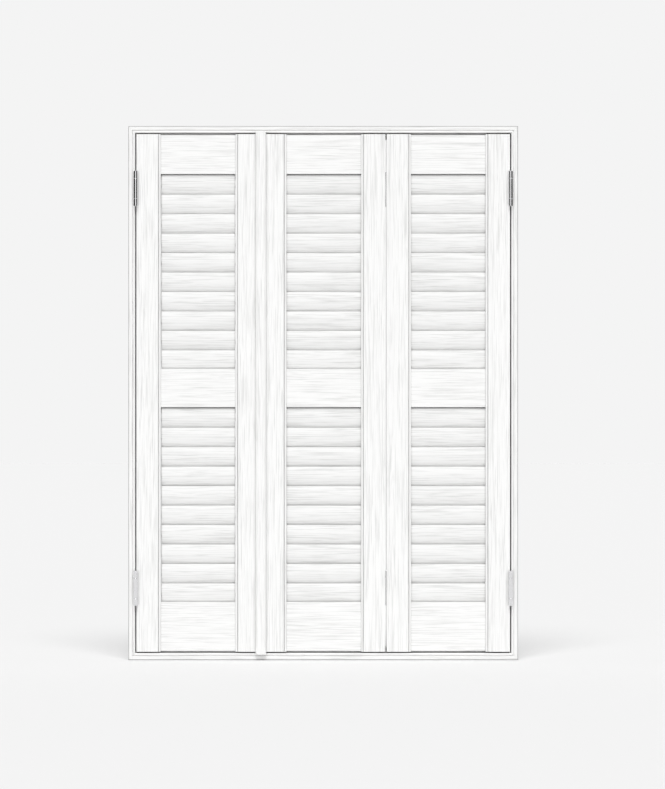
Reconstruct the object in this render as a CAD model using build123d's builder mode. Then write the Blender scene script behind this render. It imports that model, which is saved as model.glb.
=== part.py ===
from build123d import *
from math import atan2, cos, degrees, radians, sin
import os

os.makedirs("parts", exist_ok=True)

# Louvred shutters in a slim beaded frame, in millimetres.
# X runs to the right, Y runs to the back and Z runs up from the underside of the sill.

# Frame
frame_width = 800.0
frame_height = 1096.0
frame_depth = 46.0
face_width = 14.0
face_flat = 8.0
stop_width = 12.0
stop_gap = 2.0
quirk_width = 1.0
quirk_depth = 2.0

# Panels
panel_thickness = 27.0
panel_proud = 0.5
edge_gap = 2.6
fold_gap = 2.6
meeting_gap = 5.0
stile_width = 50.0
stile_bead = 5.5
rail_thickness = 20.0
rail_setback = 1.6
top_rail_height = 81.5
cross_rail_height = 79.0
bottom_rail_least = 95.0
lip_thickness = 8.0
lip_depth = 12.5

# Louvres
louvre_pitch = 40.0
louvre_width = 47.0
louvre_thickness = 8.5
louvre_edge = 1.8
louvre_tilt = 12.0
louvre_reveal = 2.5
louvre_side_gap = 1.0
pivot_radius = 3.0
pivot_length = 8.0
pivot_clearance = 0.05
pivot_end_gap = 0.5

# Tilt strips behind the louvres
strip_back = 13.5
strip_drop = 24.0
strip_width = 5.0
strip_thickness = 1.6
strip_overhang = 5.0
strip_inset = 30.0
strip_side_gap = 0.3
lug_thickness = 2.5
lug_width = 5.0
lug_root = 15.0
lug_corner = 1.2
strip_pin_radius = 1.25
strip_pin_clearance = 0.05
strip_pin_tail = 0.7

# Meeting strip over the joint between the left and middle panels
meeting_width = 22.0
meeting_thickness = 9.0
meeting_round = 5.0
meeting_top_lap = 4.0
meeting_bottom_lap = 5.0
meeting_relief = 0.4

# Hinges
hinge_height = 72.0
hinge_middle_knuckle = 41.0
knuckle_gap = 0.4
barrel_radius = 4.5
barrel_standoff = 0.3
hinge_pin_radius = 2.0
hinge_pin_clearance = 0.05
leaf_thickness = 2.0
leaf_root = 2.6
leaf_reach = 29.0
window_reach = 22.5
inner_leaf_reach = 21.5
upper_hinge_drop = 112.0
lower_hinge_rise = 131.0

# Hinge screws
screw_radius = 1.9
screw_hole_clearance = 0.3
screw_head_radius = 3.8
screw_sink_clearance = 0.2
screw_head_depth = 1.9
screw_length = 12.0
outer_screw_reach = 16.0
outer_screw_rise = 28.5
inner_screw_reach = 13.0
inner_screw_rise = 11.0
sink_angle = 90

# Magnet catches and frame fixings
magnet_radius = 3.0
magnet_depth = 4.0
keeper_depth = 1.5
catch_clearance = 0.1
catch_rise = 4.7
catch_inset = 25.0
fixing_radius = 2.5
fixing_head_radius = 5.0
fixing_end_distance = 250.0
fixing_setback = 8.0

# Worked out from the sizes above
half_width = frame_width / 2
frame_front = -frame_depth / 2
frame_back = frame_depth / 2
panel_front = frame_front - panel_proud
panel_back = panel_front + panel_thickness
stop_front = panel_back + stop_gap
middle_y = (panel_front + panel_back) / 2
inner_edge = half_width - face_width
panel_width = (2 * inner_edge - 2 * edge_gap - fold_gap - meeting_gap) / 3
sight_width = panel_width - 2 * stile_width
panel_low = face_width + edge_gap
panel_high = frame_height - panel_low
rails_height = top_rail_height + cross_rail_height + bottom_rail_least
louvre_count = int((panel_high - panel_low - rails_height) / 2 / louvre_pitch)
bank_height = louvre_count * louvre_pitch
upper_bank_top = panel_high - top_rail_height
upper_bank_low = upper_bank_top - bank_height
lower_bank_top = upper_bank_low - cross_rail_height
lower_bank_low = lower_bank_top - bank_height
rail_front = middle_y - rail_thickness / 2
rail_back = middle_y + rail_thickness / 2
left_x = -inner_edge + edge_gap
middle_x = left_x + panel_width + meeting_gap
right_x = middle_x + panel_width + fold_gap
first_axis = louvre_reveal + louvre_width / 2 * cos(radians(louvre_tilt))
upper_axes = [upper_bank_top - first_axis - n * louvre_pitch for n in range(louvre_count)]
lower_axes = [lower_bank_top - first_axis - n * louvre_pitch for n in range(louvre_count)]
bore_radius = pivot_radius + pivot_clearance
bore_depth = pivot_length - louvre_side_gap + pivot_end_gap
jamb_axis_x = inner_edge - edge_gap / 2
jamb_axis_y = panel_front - barrel_radius - barrel_standoff
fold_axis_x = right_x - fold_gap / 2
fold_axis_y = panel_back + barrel_radius + barrel_standoff
hinge_centres = [panel_low + lower_hinge_rise, panel_high - upper_hinge_drop]
catch_levels = [face_width + stop_width - catch_rise, frame_height - face_width - stop_width + catch_rise]
meeting_left = middle_x - meeting_gap / 2 - meeting_width / 2


# A plane across X, with its own x to the back and its own y up
def side_plane(x, y=0.0, z=0.0):
    return Plane(origin=(x, y, z), x_dir=(0, 1, 0), z_dir=(1, 0, 0))


# A plane for an upright run, with its own x towards the middle and its own y to the back
def upright_plane(x, inward, low, high):
    start = low if inward > 0 else high
    return Plane(origin=(x, 0, start), x_dir=(inward, 0, 0), z_dir=(0, 0, inward))


# One length of frame moulding with a beaded face and a light stop, mitred at both ends
def frame_member(plane, length, mitres, fixings, catches):
    bead_start = face_flat + quirk_width
    with BuildPart() as member:
        with BuildSketch(plane):
            with BuildLine():
                Polyline(
                    (bead_start, frame_front + quirk_depth),
                    (face_flat, frame_front + quirk_depth),
                    (face_flat, frame_front),
                    (0, frame_front),
                    (0, frame_back),
                    (face_width + stop_width, frame_back),
                    (face_width + stop_width, stop_front),
                    (face_width, stop_front),
                    (face_width, frame_front + quirk_depth),
                )
                ThreePointArc(
                    (face_width, frame_front + quirk_depth),
                    ((bead_start + face_width) / 2, frame_front),
                    (bead_start, frame_front + quirk_depth),
                )
            make_face()
        extrude(amount=length)
        for mitre in mitres:
            split(bisect_by=mitre, keep=Keep.TOP)
        for spot in fixings:
            with Locations(spot):
                CounterSinkHole(fixing_radius, fixing_head_radius, counter_sink_angle=sink_angle)
        for spot in catches:
            with Locations(spot):
                Hole(magnet_radius + catch_clearance, depth=magnet_depth)
    return member.part


# A jamb, on side -1 for the left and 1 for the right
def jamb(side):
    mitres = [
        Plane(origin=(side * half_width, 0, 0), z_dir=(side, 0, 1)),
        Plane(origin=(side * half_width, 0, frame_height), z_dir=(side, 0, -1)),
    ]
    levels = [fixing_end_distance, frame_height - fixing_end_distance]
    fixing_y = stop_front - fixing_setback
    fixings = [Plane(origin=(side * inner_edge, fixing_y, z), z_dir=(-side, 0, 0)) for z in levels]
    plane = upright_plane(side * half_width, -side, 0, frame_height)
    return frame_member(plane, frame_height, mitres, fixings, [])


# The sill with up 1, or the head with up -1
def cross_member(up):
    z = 0 if up > 0 else frame_height
    mitres = [Plane(origin=(s * half_width, 0, z), z_dir=(-s, 0, -up)) for s in (-1, 1)]
    level = catch_levels[0] if up > 0 else catch_levels[1]
    catches = [Plane(origin=(x, stop_front, level), z_dir=(0, -1, 0)) for x in catch_places()]
    plane = Plane(origin=(up * half_width, 0, z), x_dir=(0, 0, up), z_dir=(-up, 0, 0))
    return frame_member(plane, frame_width, mitres, [], catches)


# Where the catches stand, over the two meeting stiles
def catch_places():
    return [left_x + panel_width - catch_inset, middle_x + catch_inset]


# A stile with a bead along its sight edge, and bores where louvres turn in it
def stile(outer_x, inward, bored, catch_x=None):
    bead_start = stile_width - stile_bead + quirk_width
    sight_x = outer_x + inward * stile_width
    spots = [(middle_y, z) for z in upper_axes + lower_axes]
    with BuildPart() as board:
        with BuildSketch(upright_plane(outer_x, inward, panel_low, panel_high)):
            with BuildLine():
                Polyline(
                    (bead_start, panel_front + quirk_depth),
                    (bead_start - quirk_width, panel_front + quirk_depth),
                    (bead_start - quirk_width, panel_front),
                    (0, panel_front),
                    (0, panel_back),
                    (stile_width, panel_back),
                    (stile_width, panel_front + quirk_depth),
                )
                ThreePointArc(
                    (stile_width, panel_front + quirk_depth),
                    ((bead_start + stile_width) / 2, panel_front),
                    (bead_start, panel_front + quirk_depth),
                )
            make_face()
        extrude(amount=panel_high - panel_low)
        if bored:
            with BuildSketch(side_plane(sight_x)):
                with Locations(*spots):
                    Circle(bore_radius)
            extrude(amount=-inward * bore_depth, mode=Mode.SUBTRACT)
        if catch_x is not None:
            for z in catch_levels:
                with Locations(Plane(origin=(catch_x, panel_back, z), z_dir=(0, 1, 0))):
                    Hole(magnet_radius + catch_clearance, depth=keeper_depth)
    return board.part


# A rail between two stiles; a back lip hangs below it and a front lip stands on it beside the louvres
def rail(panel_x, low, high, back_lip, front_lip):
    body_low = low
    body_high = high - lip_depth if front_lip else high
    with BuildPart() as board:
        with BuildSketch(side_plane(panel_x + stile_width)):
            with Locations((middle_y, (body_low + body_high) / 2)):
                Rectangle(rail_thickness, body_high - body_low)
            if back_lip:
                with Locations((rail_back, low - lip_depth)):
                    Rectangle(lip_thickness, 2 * lip_depth, align=(Align.MAX, Align.MIN))
            if front_lip:
                with Locations((rail_front, high)):
                    Rectangle(lip_thickness, 2 * lip_depth, align=(Align.MIN, Align.MAX))
        extrude(amount=sight_width)
    return board.part


# Louvres on the given axes, each with a lug for the tilt strip
# Turning ones have pivots and a strip pin, and fixed ones reach from stile to stile
def louvres(panel_x, axes, turning):
    side_gap = louvre_side_gap if turning else 0.0
    start = panel_x + stile_width + side_gap
    length = sight_width - 2 * side_gap
    lug_x = panel_x + stile_width + strip_inset
    tilt = radians(louvre_tilt)
    half = louvre_width / 2
    edge = louvre_edge / 2
    root = Vector(lug_root * sin(tilt), -lug_root * cos(tilt))
    tip = Vector(strip_back, -strip_drop)
    lug_middle = (root + tip) / 2
    lug_angle = degrees(atan2(tip.Y - root.Y, tip.X - root.X))
    with BuildPart() as blades:
        for z in axes:
            chord = Plane(origin=(start, middle_y, z), x_dir=(0, -sin(tilt), cos(tilt)), z_dir=(1, 0, 0))
            with BuildSketch(chord):
                with BuildLine():
                    ThreePointArc((-half, edge), (0, louvre_thickness / 2), (half, edge))
                    Line((half, edge), (half, -edge))
                    ThreePointArc((half, -edge), (0, -louvre_thickness / 2), (-half, -edge))
                    Line((-half, -edge), (-half, edge))
                make_face()
        extrude(amount=length)
        for z in axes:
            with BuildSketch(side_plane(lug_x, middle_y, z)) as lug:
                with Locations(Location((lug_middle.X, lug_middle.Y), lug_angle)):
                    Rectangle((tip - root).length + lug_width, lug_width)
                chamfer(lug.vertices(), lug_corner)
        extrude(amount=lug_thickness)
        if turning:
            for z in axes:
                with BuildSketch(side_plane(start - pivot_length, middle_y, z)):
                    Circle(pivot_radius)
            extrude(amount=length + 2 * pivot_length)
            for z in axes:
                with BuildSketch(side_plane(lug_x, middle_y, z)):
                    with Locations(tip):
                        Circle(strip_pin_radius)
            extrude(amount=lug_thickness + strip_side_gap + strip_thickness + strip_pin_tail)
    return blades.part


# The strips that tie the lugs of a bank together; one behind turning louvres has holes for their pins
def tilt_strips(panel_x, banks, turning):
    side_gap = strip_side_gap if turning else 0.0
    start = panel_x + stile_width + strip_inset + lug_thickness + side_gap
    length = (louvre_count - 1) * louvre_pitch + 2 * strip_overhang
    hole = strip_pin_radius + strip_pin_clearance
    strip_y = middle_y + strip_back
    with BuildPart() as strips:
        for axes in banks:
            centre = (axes[0] + axes[-1]) / 2 - strip_drop
            with BuildSketch(side_plane(start)):
                with Locations((strip_y, centre)):
                    Rectangle(strip_width, length)
                if turning:
                    with Locations(*[(strip_y, z - strip_drop) for z in axes]):
                        Circle(hole, mode=Mode.SUBTRACT)
            extrude(amount=strip_thickness)
    return strips.part


# The moulded strip fixed to the middle panel, relieved where it laps the left panel
def meeting_strip():
    low = panel_low - meeting_bottom_lap
    high = panel_high + meeting_top_lap
    lap = middle_x - meeting_left
    with BuildPart() as strip:
        with BuildSketch(Plane.XY.offset(low)) as outline:
            with Locations((meeting_left, panel_front)):
                Rectangle(meeting_width, meeting_thickness, align=(Align.MIN, Align.MAX))
            fillet(outline.vertices().group_by(Axis.Y)[0], meeting_round)
            with Locations((meeting_left, panel_front)):
                Rectangle(lap, meeting_relief, align=(Align.MIN, Align.MAX), mode=Mode.SUBTRACT)
        extrude(amount=high - low)
    return strip.part


# Where the screws of one leaf go, as (y, z), for a leaf that runs back (1) or forward (-1)
def screw_spots(axis_y, run, outer):
    reach = outer_screw_reach if outer else inner_screw_reach
    rise = outer_screw_rise if outer else inner_screw_rise
    return [(axis_y + run * reach, z + s * rise) for z in hinge_centres for s in (-1, 1)]


# The leaves on one face; an outer leaf has two end knuckles and a window, an inner one nests in it
def hinge_leaves(face_x, into, axis_x, axis_y, run, outer):
    half_middle = hinge_middle_knuckle / 2
    end_low = half_middle + knuckle_gap
    end_length = hinge_height / 2 - end_low
    reach = leaf_reach if outer else inner_leaf_reach
    height = hinge_height if outer else hinge_middle_knuckle
    with BuildPart() as leaves:
        for centre in hinge_centres:
            starts = [centre + end_low, centre - hinge_height / 2] if outer else [centre - half_middle]
            for low in starts:
                with BuildSketch(Plane(origin=(axis_x, axis_y, low))):
                    Circle(barrel_radius)
                extrude(amount=end_length if outer else hinge_middle_knuckle)
            with BuildSketch(side_plane(face_x, axis_y, centre)):
                with Locations((run * (leaf_root + reach) / 2, 0)):
                    Rectangle(reach - leaf_root, height)
                if outer:
                    with Locations((run * window_reach / 2, 0)):
                        Rectangle(window_reach, 2 * end_low, mode=Mode.SUBTRACT)
            extrude(amount=into * leaf_thickness)
            with Locations((axis_x, axis_y, centre)):
                Cylinder(hinge_pin_radius + hinge_pin_clearance, hinge_height, mode=Mode.SUBTRACT)
        for y, z in screw_spots(axis_y, run, outer):
            with Locations(Plane(origin=(face_x + into * leaf_thickness, y, z), z_dir=(into, 0, 0))):
                CounterSinkHole(
                    screw_radius + screw_hole_clearance,
                    screw_head_radius + screw_sink_clearance,
                    depth=leaf_thickness,
                    counter_sink_angle=sink_angle,
                )
    return leaves.part


# Hinge pins, flush with the ends of their barrels
def hinge_pins(axes):
    with BuildPart() as pins:
        for x, y in axes:
            for centre in hinge_centres:
                with Locations((x, y, centre)):
                    Cylinder(hinge_pin_radius, hinge_height)
    return pins.part


# Countersunk screws through one or more sets of leaves, as (face_x, into, axis_y, run, outer)
def hinge_screws(leaf_sets):
    with BuildPart() as screws:
        for face_x, into, axis_y, run, outer in leaf_sets:
            for y, z in screw_spots(axis_y, run, outer):
                with Locations(Plane(origin=(face_x + into * leaf_thickness, y, z), z_dir=(into, 0, 0))):
                    Cone(
                        screw_radius,
                        screw_head_radius,
                        screw_head_depth,
                        align=(Align.CENTER, Align.CENTER, Align.MAX),
                    )
                    Cylinder(screw_radius, screw_length, align=(Align.CENTER, Align.CENTER, Align.MAX))
    return screws.part


# Round discs let into a face, as (x, z) spots, with the face at face_y and the disc running to the back
def discs(spots, face_y, facing, thickness):
    with BuildPart() as pieces:
        for x, z in spots:
            with Locations(Plane(origin=(x, face_y, z), z_dir=(0, facing, 0))):
                Cylinder(magnet_radius, thickness, align=(Align.CENTER, Align.CENTER, Align.MAX))
    return pieces.part


# One finished piece, written under its own name
def save(part, name):
    part.label = name
    export_step(part, f"parts/{name}.step")


# The stiles and rails of one panel
def save_panel(name, x, stile_names, bored, catch_x, catch_first):
    first, second = stile_names
    save(stile(x, 1, bored, catch_x if catch_first else None), f"{name}_{first}")
    save(stile(x + panel_width, -1, bored, None if catch_first else catch_x), f"{name}_{second}")
    save(rail(x, upper_bank_top, panel_high - rail_setback, True, False), f"{name}_top_rail")
    save(rail(x, lower_bank_top, upper_bank_low, True, True), f"{name}_cross_rail")
    save(rail(x, panel_low + rail_setback, lower_bank_low, False, True), f"{name}_bottom_rail")


save(jamb(-1), "frame_left_jamb")
save(jamb(1), "frame_right_jamb")
save(cross_member(-1), "frame_head")
save(cross_member(1), "frame_sill")

left_catch, middle_catch = catch_places()
save_panel("left", left_x, ("hanging_stile", "meeting_stile"), True, left_catch, False)
save_panel("middle", middle_x, ("meeting_stile", "fold_stile"), False, middle_catch, True)
save_panel("right", right_x, ("fold_stile", "hanging_stile"), False, None, True)
save(meeting_strip(), "meeting_strip")

# The left panel's louvres turn one by one; the other panels' banks are grouped
for bank, axes in (("upper", upper_axes), ("lower", lower_axes)):
    for number, axis_z in enumerate(axes, 1):
        save(louvres(left_x, [axis_z], True), f"left_{bank}_louvre_{number:02d}")
    save(tilt_strips(left_x, [axes], True), f"left_{bank}_tilt_strip")
for name, x in (("middle", middle_x), ("right", right_x)):
    save(louvres(x, upper_axes + lower_axes, False), f"{name}_louvres")
    save(tilt_strips(x, [upper_axes, lower_axes], False), f"{name}_tilt_strips")

# Faces that carry hinge leaves: jambs, hanging stiles and the two stiles of the fold
panel_edge = inner_edge - edge_gap
frame_sets = [(s * inner_edge, -s, jamb_axis_y, 1, True) for s in (-1, 1)]
left_set = (-panel_edge, -1, jamb_axis_y, 1, False)
right_set = (panel_edge, 1, jamb_axis_y, 1, False)
right_fold_set = (right_x, -1, fold_axis_y, -1, True)
middle_fold_set = (right_x - fold_gap, 1, fold_axis_y, -1, False)

with BuildPart() as frame_leaves:
    for side, (face_x, into, axis_y, run, outer) in zip((-1, 1), frame_sets):
        add(hinge_leaves(face_x, into, side * jamb_axis_x, axis_y, run, outer))
save(frame_leaves.part, "frame_hinge_leaves")
save(hinge_leaves(left_set[0], left_set[1], -jamb_axis_x, *left_set[2:]), "left_hinge_leaves")
save(hinge_leaves(right_set[0], right_set[1], jamb_axis_x, *right_set[2:]), "right_hinge_leaves")
save(hinge_leaves(right_fold_set[0], right_fold_set[1], fold_axis_x, *right_fold_set[2:]), "right_fold_leaves")
save(
    hinge_leaves(middle_fold_set[0], middle_fold_set[1], fold_axis_x, *middle_fold_set[2:]),
    "middle_fold_leaves",
)
save(hinge_pins([(-jamb_axis_x, jamb_axis_y), (jamb_axis_x, jamb_axis_y)]), "jamb_hinge_pins")
save(hinge_pins([(fold_axis_x, fold_axis_y)]), "fold_hinge_pins")
save(hinge_screws(frame_sets), "frame_hinge_screws")
save(hinge_screws([left_set]), "left_hinge_screws")
save(hinge_screws([right_set, right_fold_set]), "right_hinge_screws")
save(hinge_screws([middle_fold_set]), "middle_hinge_screws")

# Magnets in the head and sill, and steel keepers in the backs of the meeting stiles
magnet_spots = [(x, z) for x in catch_places() for z in catch_levels]
save(discs(magnet_spots, stop_front, -1, magnet_depth), "catch_magnets")
save(discs([(left_catch, z) for z in catch_levels], panel_back, 1, keeper_depth), "left_keepers")
save(discs([(middle_catch, z) for z in catch_levels], panel_back, 1, keeper_depth), "middle_keepers")
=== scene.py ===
from math import pi

import bpy
from mathutils import Matrix, Vector


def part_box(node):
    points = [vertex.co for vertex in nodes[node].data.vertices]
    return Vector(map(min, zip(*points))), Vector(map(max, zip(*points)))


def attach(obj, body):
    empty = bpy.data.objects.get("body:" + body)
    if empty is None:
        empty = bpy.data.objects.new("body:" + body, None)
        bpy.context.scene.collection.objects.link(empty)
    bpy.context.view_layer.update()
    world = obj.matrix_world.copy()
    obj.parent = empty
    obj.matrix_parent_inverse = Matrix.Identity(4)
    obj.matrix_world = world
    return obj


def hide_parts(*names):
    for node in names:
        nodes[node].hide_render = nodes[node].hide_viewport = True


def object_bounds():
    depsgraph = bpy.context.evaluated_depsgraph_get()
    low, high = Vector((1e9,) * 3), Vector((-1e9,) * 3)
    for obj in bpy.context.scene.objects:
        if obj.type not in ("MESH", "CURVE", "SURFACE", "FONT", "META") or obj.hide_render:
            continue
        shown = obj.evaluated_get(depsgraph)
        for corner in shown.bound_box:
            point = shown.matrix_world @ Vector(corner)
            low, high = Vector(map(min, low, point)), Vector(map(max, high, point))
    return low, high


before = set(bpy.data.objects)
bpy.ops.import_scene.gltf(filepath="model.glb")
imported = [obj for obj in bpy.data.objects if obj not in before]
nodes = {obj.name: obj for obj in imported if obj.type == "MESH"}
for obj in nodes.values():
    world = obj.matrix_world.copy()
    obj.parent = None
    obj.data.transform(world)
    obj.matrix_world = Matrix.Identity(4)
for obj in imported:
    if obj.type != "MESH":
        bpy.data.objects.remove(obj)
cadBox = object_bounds()
bpy.ops.object.select_all(action="DESELECT")
print("stage: frame loaded,", len(nodes), "pieces")

# The photograph's frame and where the shutters lie in it
view = {
    "imageWidth": 665,
    "imageHeight": 789,
    "centrePixel": (323.2, 393.0),   # middle of the shutters in the photograph
    "pixel": 0.0020528,              # metres for one pixel at the panels' face
    "distance": 7.0,
    "sensor": 24.0,
    "farthest": 60.0,
}


def startCamera():
    distance = view["distance"]
    viewHeight = view["imageHeight"] * view["pixel"]
    low, high = cadBox
    middleX = (low[0] + high[0]) / 2
    middleZ = (low[2] + high[2]) / 2
    shiftX = (view["imageWidth"] / 2 - view["centrePixel"][0]) * view["pixel"]
    shiftZ = (view["centrePixel"][1] - view["imageHeight"] / 2) * view["pixel"]
    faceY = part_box("left_meeting_stile")[0].y
    place = (middleX + shiftX, faceY - distance, middleZ + shiftZ)
    bpy.ops.object.camera_add(location=place, rotation=(pi / 2, 0, 0))
    camera = bpy.context.object
    camera.data.sensor_fit = "VERTICAL"
    camera.data.sensor_height = view["sensor"]
    camera.data.lens = view["sensor"] * distance / viewHeight
    camera.data.clip_end = view["farthest"]
    bpy.context.scene.camera = camera


# A new material with its node tree and principled shader
def newMaterial(name):
    material = bpy.data.materials.new(name)
    material.use_nodes = True
    tree = material.node_tree
    return material, tree, tree.nodes["Principled BSDF"]


# Noise on object coordinates, with its own scale on each axis
def stretchedNoise(tree, scale, offset, detail, roughness):
    place = tree.nodes.new("ShaderNodeTexCoord")
    mapping = tree.nodes.new("ShaderNodeMapping")
    mapping.inputs["Scale"].default_value = scale
    mapping.inputs["Location"].default_value = offset
    noise = tree.nodes.new("ShaderNodeTexNoise")
    noise.inputs["Scale"].default_value = 1.0
    noise.inputs["Detail"].default_value = detail
    noise.inputs["Roughness"].default_value = roughness
    tree.links.new(place.outputs["Object"], mapping.inputs["Vector"])
    tree.links.new(mapping.outputs["Vector"], noise.inputs["Vector"])
    return noise.outputs["Fac"]


# Scale on each axis for a pattern drawn out along one of them
def drawnOut(axis, across, along):
    scale = [across, across, across]
    scale[axis] = along
    return scale


def ramp(tree, source, low, high, lowValue, highValue):
    mapped = tree.nodes.new("ShaderNodeMapRange")
    mapped.inputs["From Min"].default_value = low
    mapped.inputs["From Max"].default_value = high
    mapped.inputs["To Min"].default_value = lowValue
    mapped.inputs["To Max"].default_value = highValue
    tree.links.new(source, mapped.inputs["Value"])
    return mapped.outputs["Result"]


# Links another node's output into a socket, or sets the socket's own value
def feed(tree, socket, value):
    if isinstance(value, bpy.types.NodeSocket):
        tree.links.new(value, socket)
    else:
        socket.default_value = value


def combine(tree, operation, first, second):
    node = tree.nodes.new("ShaderNodeMath")
    node.operation = operation
    for socket, value in zip(node.inputs, (first, second)):
        feed(tree, socket, value)
    return node.outputs["Value"]


# Mixes colours (kind RGBA) or plain levels (kind FLOAT)
def mixed(tree, kind, amount, first, second, blend="MIX"):
    mix = tree.nodes.new("ShaderNodeMix")
    mix.data_type = kind
    mix.blend_type = blend
    for name, value in (("Factor", amount), ("A", first), ("B", second)):
        socket = [item for item in mix.inputs if item.name == name and item.enabled][0]
        feed(tree, socket, value)
    return [item for item in mix.outputs if item.enabled][0]


# Rounds the edges as light sees them, and raises the surface by a pattern or sinks it
def addRelief(tree, shader, pattern, strength, distance, softEdge, sunk):
    soften = tree.nodes.new("ShaderNodeBevel")
    soften.samples = 4
    soften.inputs["Radius"].default_value = softEdge
    bump = tree.nodes.new("ShaderNodeBump")
    bump.inputs["Strength"].default_value = strength
    bump.inputs["Distance"].default_value = distance
    bump.invert = sunk
    tree.links.new(pattern, bump.inputs["Height"])
    tree.links.new(soften.outputs["Normal"], bump.inputs["Normal"])
    tree.links.new(bump.outputs["Normal"], shader.inputs["Normal"])


# Gives a node one finish all over
def dress(node, material):
    piece = nodes[node]
    piece.data.materials.clear()
    piece.data.materials.append(material)


# White paint over open grain
# Fibres, patches and rings are counted for each metre across the grain, and under Length for each along it
paint = {
    "colour": (0.930, 0.930, 0.924, 1.0),
    "grainColour": (0.735, 0.735, 0.727, 1.0),
    "roughness": 0.40,
    "grainRoughness": 0.56,
    "partShift": (3.7, 1.3, 5.9),     # moves the grain on from one part to the next
    "fibres": 520.0,                  # fine lines
    "fibreLength": 12.0,
    "fibreNoise": (3.0, 0.6),         # detail and roughness of the noise
    "fibreSpan": (0.49, 0.64),
    "patches": 60.0,                  # places with more grain and with less
    "patchLength": 7.0,
    "patchNoise": (2.0, 0.5),
    "patchSpan": (0.34, 0.60),
    "patchLeast": 0.50,
    "rings": 34.0,                    # broad figure of the growth rings
    "ringLength": 1.2,
    "ringNoise": (2.0, 0.45),
    "ringCount": 9.0,
    "ringWidth": 0.16,
    "ringDepth": 0.95,
    "ringBreaks": (0.38, 0.60),
    "bump": 0.22,
    "grainDepth": 0.0005,
    "softEdge": 0.0011,               # arrises rounded by sanding and paint
    "acrossCorner": (0.006, 0.80),    # how far the shade painted into a corner reaches, and how much light it leaves
    "uprightCorner": (0.007, 0.66),
    "cornerSpan": (0.15, 0.85),
    "cornerSamples": 8,
    "arrisWidth": 0.0015,             # painted shade line along the outer arris of the frame's face
    "arrisShade": 0.55,
}


# Whether a place lies on the outer arris of the frame's face, as 0 or 1, for the painted shade line there
def outerArris(tree):
    low, high = cadBox
    width = paint["arrisWidth"]
    place = tree.nodes.new("ShaderNodeTexCoord")
    parts = tree.nodes.new("ShaderNodeSeparateXYZ")
    tree.links.new(place.outputs["Object"], parts.inputs["Vector"])
    sideways = combine(tree, "ABSOLUTE", parts.outputs["X"], 0.0)
    upwards = combine(tree, "SUBTRACT", parts.outputs["Z"], (low[2] + high[2]) / 2)
    upwards = combine(tree, "ABSOLUTE", upwards, 0.0)
    atSide = combine(tree, "GREATER_THAN", sideways, high[0] - width)
    atEnd = combine(tree, "GREATER_THAN", upwards, (high[2] - low[2]) / 2 - width)
    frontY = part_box("frame_sill")[0].y
    atFront = combine(tree, "LESS_THAN", parts.outputs["Y"], frontY + width)
    return combine(tree, "MULTIPLY", combine(tree, "MAXIMUM", atSide, atEnd), atFront)


# How strongly the grain shows at a place, from fine lines and the rings' broader ones
def grainStrength(tree, axis, offset):
    fibreScale = drawnOut(axis, paint["fibres"], paint["fibreLength"])
    patchScale = drawnOut(axis, paint["patches"], paint["patchLength"])
    ringScale = drawnOut(axis, paint["rings"], paint["ringLength"])
    fibre = stretchedNoise(tree, fibreScale, offset, *paint["fibreNoise"])
    patch = stretchedNoise(tree, patchScale, offset, *paint["patchNoise"])
    figure = stretchedNoise(tree, ringScale, offset, *paint["ringNoise"])
    fibreLines = ramp(tree, fibre, *paint["fibreSpan"], 0.0, 1.0)
    patchWeight = ramp(tree, patch, *paint["patchSpan"], paint["patchLeast"], 1.0)
    rings = combine(tree, "PINGPONG", combine(tree, "MULTIPLY", figure, paint["ringCount"]), 0.5)
    ringLines = ramp(tree, rings, 0.0, paint["ringWidth"], paint["ringDepth"], 0.0)
    broken = combine(tree, "MULTIPLY", ringLines, ramp(tree, fibre, *paint["ringBreaks"], 0.0, 1.0))
    return combine(tree, "MULTIPLY", combine(tree, "MAXIMUM", fibreLines, broken), patchWeight)


# White paint brushed over open grain that runs up (axis 2) or across (axis 0), with painted shade
# darkening its corners and gaps, or on the frame a painted shade line along its outer arris
def paintedWood(name, axis, offset, onFrame):
    material, tree, shader = newMaterial(name)
    strength = grainStrength(tree, axis, offset)
    grained = mixed(tree, "RGBA", strength, paint["colour"], paint["grainColour"])
    if onFrame:
        # Painted shade: the base colour is darkened in a thin line along the frame's outer arris
        shade = ramp(tree, outerArris(tree), 0.0, 1.0, 1.0, paint["arrisShade"])
    else:
        reach, depth = paint["uprightCorner"] if axis == 2 else paint["acrossCorner"]
        # Painted shade: ambient occlusion darkens the base colour in corners, creases and the gaps between
        # parts
        corner = tree.nodes.new("ShaderNodeAmbientOcclusion")
        corner.samples = paint["cornerSamples"]
        corner.inputs["Distance"].default_value = reach
        shade = ramp(tree, corner.outputs["AO"], *paint["cornerSpan"], depth, 1.0)
    shaded = mixed(tree, "RGBA", 1.0, grained, shade, "MULTIPLY")
    tree.links.new(shaded, shader.inputs["Base Color"])
    gloss = ramp(tree, strength, 0.0, 1.0, paint["roughness"], paint["grainRoughness"])
    tree.links.new(gloss, shader.inputs["Roughness"])
    addRelief(tree, shader, strength, paint["bump"], paint["grainDepth"], paint["softEdge"], True)
    return material


def dressWood():
    upright = {}
    across = {}
    for number, part in enumerate(("frame", "left", "middle", "right")):
        offset = [number * step for step in paint["partShift"]]
        onFrame = part == "frame"
        upright[part] = paintedWood("paint_upright_" + part, 2, offset, onFrame)
        across[part] = paintedWood("paint_across_" + part, 0, offset, onFrame)
    for node in nodes:
        part = node.split("_")[0]
        if node.endswith("jamb") or node.endswith("stile"):
            dress(node, upright[part])
        elif node in ("frame_head", "frame_sill") or node.endswith("rail") or "louvre" in node:
            dress(node, across[part])
    dress("meeting_strip", upright["middle"])


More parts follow.
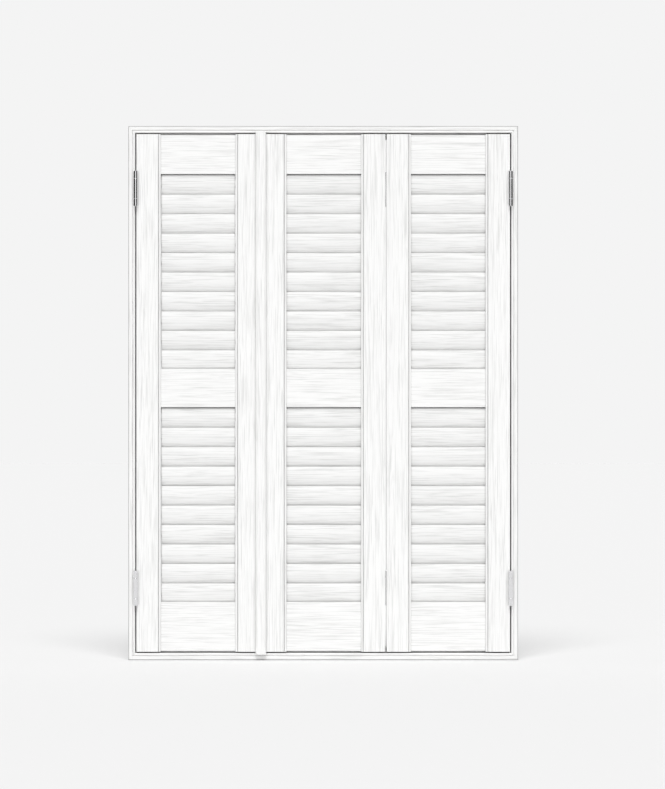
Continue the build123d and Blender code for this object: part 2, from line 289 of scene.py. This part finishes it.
# Polished and drawn metals, each with the axis that its fine lines run along
hinge = {
    "colour": (0.80, 0.80, 0.81, 1.0),
    "roughness": 0.10,
    "axis": 2,
    "bump": 0.04,
    "softEdge": 0.0009,
}
screwFinish = {
    "colour": (0.72, 0.72, 0.73, 1.0),
    "roughness": 0.20,
    "axis": 0,
    "bump": 0.03,
    "softEdge": 0.0002,
}
tiltStrip = {
    "colour": (0.83, 0.83, 0.84, 1.0),
    "roughness": 0.34,
    "axis": 2,
    "bump": 0.10,
    "softEdge": 0.0003,
}
catchPlate = {
    "colour": (0.62, 0.62, 0.64, 1.0),
    "roughness": 0.30,
    "axis": 0,
    "bump": 0.06,
    "softEdge": 0.0003,
}
drawnLines = {
    "across": 2400.0,            # lines for each metre across them
    "along": 60.0,
    "noise": (3.0, 0.5),         # detail and roughness of the noise
    "span": (0.3, 0.7),
    "glossSpread": (0.8, 1.3),   # least and most roughness, as shares of the metal's own
    "depth": 0.0002,
}


# Bright metal with fine lines left by drawing or polishing
def brightMetal(name, finish):
    material, tree, shader = newMaterial(name)
    shader.inputs["Base Color"].default_value = finish["colour"]
    shader.inputs["Metallic"].default_value = 1.0
    scale = drawnOut(finish["axis"], drawnLines["across"], drawnLines["along"])
    drawn = stretchedNoise(tree, scale, (0.0, 0.0, 0.0), *drawnLines["noise"])
    least, most = [finish["roughness"] * share for share in drawnLines["glossSpread"]]
    gloss = ramp(tree, drawn, *drawnLines["span"], least, most)
    tree.links.new(gloss, shader.inputs["Roughness"])
    addRelief(tree, shader, drawn, finish["bump"], drawnLines["depth"], finish["softEdge"], False)
    return material


# Dresses all metal, and gives back the screws' finish for the modelled ones
def dressMetal():
    hingeMetal = brightMetal("polished_hinge", hinge)
    screwMetal = brightMetal("polished_screw", screwFinish)
    stripMetal = brightMetal("drawn_aluminium", tiltStrip)
    plateMetal = brightMetal("plated_steel", catchPlate)
    for node in nodes:
        if node.endswith("leaves") or node.endswith("pins"):
            dress(node, hingeMetal)
        elif node.endswith("screws"):
            dress(node, screwMetal)
        elif "tilt_strip" in node:
            dress(node, stripMetal)
        elif node in ("catch_magnets", "left_keepers", "middle_keepers"):
            dress(node, plateMetal)
    return screwMetal


# Countersunk screws with a cross recess and a cut thread, in place of the plain ones
screw = {
    "sides": 20,
    "headRadius": 0.0038,
    "rim": 0.0002,
    "headDepth": 0.0019,
    "crestRadius": 0.0019,
    "coreRadius": 0.0014,
    "plainLength": 0.0030,     # from the face to the first thread
    "threadPitch": 0.0009,
    "tipLength": 0.0022,
    "tipShare": 0.12,          # the point's radius, as a share of the core's
    "length": 0.0120,
    "recessReach": 0.0021,
    "recessWidth": 0.0008,
    "recessDepth": 0.0012,
    "recessTaper": 0.55,
    "turnBetween": 0.7,        # each recess stands at another angle, in radians
    "smoothBelow": pi / 6,
    "weld": 0.00001,           # corners of a plain screw nearer than this are one
}


def onlySelect(piece):
    bpy.ops.object.select_all(action="DESELECT")
    piece.select_set(True)
    bpy.context.view_layer.objects.active = piece


# Depth and radius of each ring below the rim, from the head's cone to the point
def screwOutline():
    crest = screw["crestRadius"]
    core = screw["coreRadius"]
    half = screw["threadPitch"] / 2
    depth = screw["plainLength"]
    outline = [(screw["headDepth"], crest), (depth, crest)]
    while depth + 2 * half < screw["length"] - screw["tipLength"]:
        outline.append((depth + half, core))
        outline.append((depth + 2 * half, crest))
        depth += 2 * half
    outline.append((depth + half, core))
    outline.append((screw["length"], core * screw["tipShare"]))
    return outline


# Draws the selected end face out by a step, to a depth and a new radius
def drawOut(depth, step, radius, newRadius):
    bpy.ops.mesh.extrude_region_move(TRANSFORM_OT_translate={"value": (0.0, 0.0, -step)})
    share = newRadius / radius
    bpy.ops.transform.resize(value=(share, share, 1.0), center_override=(0.0, 0.0, -depth))


# One screw, with its face at the origin and its shank running down
def modelScrew():
    rim = screw["rim"]
    bpy.ops.mesh.primitive_cylinder_add(
        vertices=screw["sides"], radius=screw["headRadius"], depth=rim, location=(0, 0, -rim / 2))
    body = bpy.context.object
    body.name = "screwPattern"
    bpy.ops.object.transform_apply(location=True, rotation=True, scale=True)
    for face in body.data.polygons:
        face.select = face.normal.z < -0.9   # the lower end face alone
    for edge in body.data.edges:
        edge.select = False
    for vertex in body.data.vertices:
        vertex.select = vertex.co.z < -rim / 2
    bpy.ops.object.mode_set(mode="EDIT")
    bpy.ops.mesh.select_mode(type="FACE")
    depth = rim
    radius = screw["headRadius"]
    for newDepth, newRadius in screwOutline():
        drawOut(newDepth, newDepth - depth, radius, newRadius)
        depth = newDepth
        radius = newRadius
    bpy.ops.object.mode_set(mode="OBJECT")
    return body


# The cross that the driver fits, cut into the face and narrower at its bottom
def cutRecess(body):
    arms = []
    reach = screw["recessReach"]
    half = screw["recessWidth"] / 2
    for halfX, halfY in ((reach, half), (half, reach)):
        bpy.ops.mesh.primitive_cube_add(size=2.0)
        arm = bpy.context.object
        arm.scale = (halfX, halfY, screw["recessDepth"])
        bpy.ops.object.transform_apply(location=True, rotation=True, scale=True)
        for vertex in arm.data.vertices:
            if vertex.co.z < 0:
                vertex.co.x *= screw["recessTaper"]
                vertex.co.y *= screw["recessTaper"]
        arms.append(arm)
    for number, arm in enumerate(arms):
        cut = body.modifiers.new(f"recess{number}", "BOOLEAN")
        cut.operation = "DIFFERENCE"
        cut.solver = "EXACT"
        cut.object = arm
        onlySelect(body)
        bpy.ops.object.modifier_apply(modifier=cut.name)
        bpy.data.objects.remove(arm)


# The middle of the face of each plain screw in a node, and the side that it looks to
def screwSpots(node):
    finder = bpy.data.objects.new("spotFinder", nodes[node].data.copy())
    bpy.context.collection.objects.link(finder)
    onlySelect(finder)
    bpy.ops.object.mode_set(mode="EDIT")
    bpy.ops.mesh.select_all(action="SELECT")
    bpy.ops.mesh.remove_doubles(threshold=screw["weld"])
    bpy.ops.mesh.separate(type="LOOSE")
    bpy.ops.object.mode_set(mode="OBJECT")
    spots = []
    for piece in list(bpy.context.selected_objects):
        corners = [vertex.co for vertex in piece.data.vertices]
        low = Vector([min(corner[axis] for corner in corners) for axis in range(3)])
        high = Vector([max(corner[axis] for corner in corners) for axis in range(3)])
        middle = (low + high) / 2
        widest = max(corners, key=lambda corner: (corner.yz - middle.yz).length)
        side = 1.0 if widest.x > middle.x else -1.0   # the head is the widest part
        faceX = high.x if side > 0 else low.x
        spots.append((Vector((faceX, middle.y, middle.z)), side))
    bpy.ops.object.delete()
    return sorted(spots, key=lambda spot: tuple(round(value, 5) for value in spot[0]))


def addScrews(material):
    pattern = modelScrew()
    cutRecess(pattern)
    owners = {"frame": "frame", "left": "left_panel", "middle": "middle_panel", "right": "right_panel"}
    for part, body in owners.items():
        node = part + "_hinge_screws"
        copies = []
        for number, (place, side) in enumerate(screwSpots(node)):
            copy = bpy.data.objects.new("screwCopy", pattern.data.copy())
            bpy.context.collection.objects.link(copy)
            aim = Matrix.Rotation(side * pi / 2, 4, "Y")
            turn = Matrix.Rotation(number * screw["turnBetween"], 4, "Z")
            copy.data.transform(Matrix.Translation(place) @ aim @ turn)
            copies.append(copy)
        onlySelect(copies[0])
        for copy in copies:
            copy.select_set(True)
        bpy.ops.object.join()
        screws = bpy.context.object
        screws.name = part + "_cross_screws"
        bpy.ops.object.shade_smooth_by_angle(angle=screw["smoothBelow"])
        screws.data.materials.clear()
        screws.data.materials.append(material)
        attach(screws, body)
        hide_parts(node)
    bpy.data.objects.remove(pattern)


# The room's light. The spans are of the direction looked in, where 1 is straight along the axis
room = {
    "level": 0.78,
    "zenithShare": 0.62,       # light from overhead, the sides and the back, as shares of the level
    "sideShare": 0.55,
    "backShare": 1.45,
    "zenithSpan": (0.25, 0.85),
    "sideSpan": (0.45, 0.85),
    "backSpan": (-0.10, 0.40),
    "cardLevel": 0.02,         # dark cards at both sides, which only the metal shows
    "cardSpan": (0.38, 0.46),
    "ceilingSpan": (0.30, 0.60),
    "background": 0.905,
    "sunFrom": (0.0, -0.52, 0.85),
    "sunStrength": 1.9,
    "sunSize": 0.55,
    "floorColour": (0.809, 0.809, 0.809, 1.0),
    "floorRoughness": 0.9,
    "floorSize": 40.0,
    "floorDrop": 0.0005,
}


# Soft light, less from overhead and the sides and more from the back, with a flat pale background
def lightRoom():
    world = bpy.data.worlds.new("softRoom")
    bpy.context.scene.world = world
    world.use_nodes = True
    tree = world.node_tree
    place = tree.nodes.new("ShaderNodeTexCoord")
    direction = tree.nodes.new("ShaderNodeSeparateXYZ")
    tree.links.new(place.outputs["Generated"], direction.inputs["Vector"])
    sideways = combine(tree, "ABSOLUTE", direction.outputs["X"], 0.0)
    zenithLevel = room["level"] * room["zenithShare"]
    overhead = ramp(tree, direction.outputs["Z"], *room["zenithSpan"], room["level"], zenithLevel)
    atSides = ramp(tree, sideways, *room["sideSpan"], 1.0, room["sideShare"])
    behind = ramp(tree, direction.outputs["Y"], *room["backSpan"], 1.0, room["backShare"])
    softLight = combine(tree, "MULTIPLY", combine(tree, "MULTIPLY", overhead, atSides), behind)
    cards = ramp(tree, sideways, *room["cardSpan"], 1.0, room["cardLevel"])
    ceiling = ramp(tree, direction.outputs["Z"], *room["ceilingSpan"], 0.0, 1.0)
    shown = combine(tree, "MAXIMUM", cards, ceiling)
    rays = tree.nodes.new("ShaderNodeLightPath")
    mirrored = combine(tree, "MAXIMUM", rays.outputs["Is Glossy Ray"], rays.outputs["Is Transmission Ray"])
    level = mixed(tree, "FLOAT", mirrored, softLight, shown)
    level = mixed(tree, "FLOAT", rays.outputs["Is Camera Ray"], level, room["background"])
    tree.links.new(level, tree.nodes["Background"].inputs["Strength"])
    tree.nodes["Background"].inputs["Color"].default_value = (1.0, 1.0, 1.0, 1.0)


def addStudio():
    bpy.context.scene.view_settings.view_transform = "Standard"
    lightRoom()
    bpy.ops.object.light_add(type="SUN", location=room["sunFrom"])
    sun = bpy.context.object
    sun.name = "highWindow"
    sun.data.energy = room["sunStrength"]
    sun.data.angle = room["sunSize"]
    sun.rotation_euler = (-Vector(room["sunFrom"])).to_track_quat("-Z", "Y").to_euler()
    bpy.ops.mesh.primitive_plane_add(size=room["floorSize"], location=(0, 0, -room["floorDrop"]))
    floor = bpy.context.object
    floor.name = "floor"
    bpy.ops.object.transform_apply(location=True, rotation=True, scale=True)
    material, tree, shader = newMaterial("palePaper")
    shader.inputs["Base Color"].default_value = room["floorColour"]
    shader.inputs["Roughness"].default_value = room["floorRoughness"]
    shader.inputs["Specular IOR Level"].default_value = 0.0
    floor.data.materials.append(material)


startCamera()
print("stage: camera set")
dressWood()
screwMetal = dressMetal()
print("stage: materials set")
addScrews(screwMetal)
print("stage: screws modelled")
addStudio()
print("stage: studio set")
